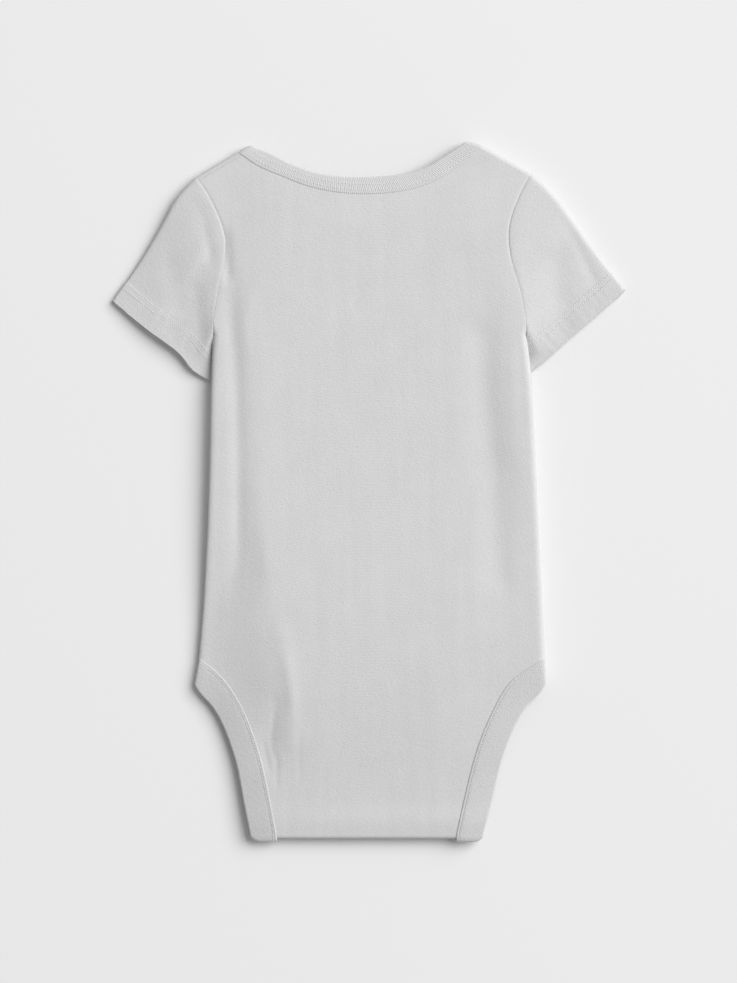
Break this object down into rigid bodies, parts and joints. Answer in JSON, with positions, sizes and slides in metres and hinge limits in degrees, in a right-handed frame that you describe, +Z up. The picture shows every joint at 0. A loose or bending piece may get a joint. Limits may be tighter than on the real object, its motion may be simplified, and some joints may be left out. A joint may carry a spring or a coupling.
{
  "type": "baby bodysuit",
  "caption": "Short-sleeved baby bodysuit in plain light-grey jersey with a lap neck, bound leg openings and a snapped crotch, laid flat with its back up.",
  "frame": {"origin": "centre of the underside, on the surface the garment lies on", "axes": "+Z up out of the table, through the front and then the back; +Y to the neck; +X to the wearer's right"},
  "size_m": [0.3086, 0.421, 0.0119],
  "materials": {
    "jersey": "fine cotton jersey, matt",
    "bands": "fine rib knit, matt",
    "snaps": "pale pressed metal"
  },
  "bodies": {
    "root": {"back_panel": "jersey", "front_panel": "jersey", "sleeve_left": "jersey", "sleeve_right": "jersey", "back_neck_band": "bands", "front_neck_band": "bands", "leg_band_left": "bands", "leg_band_right": "bands", "snap_ring_front_1": "snaps", "snap_stud_1": "snaps", "snap_ring_back_1": "snaps", "snap_ring_front_2": "snaps", "snap_stud_2": "snaps", "snap_ring_back_2": "snaps", "snap_ring_front_3": "snaps", "snap_stud_3": "snaps", "snap_ring_back_3": "snaps"}
  },
  "joints": []
}
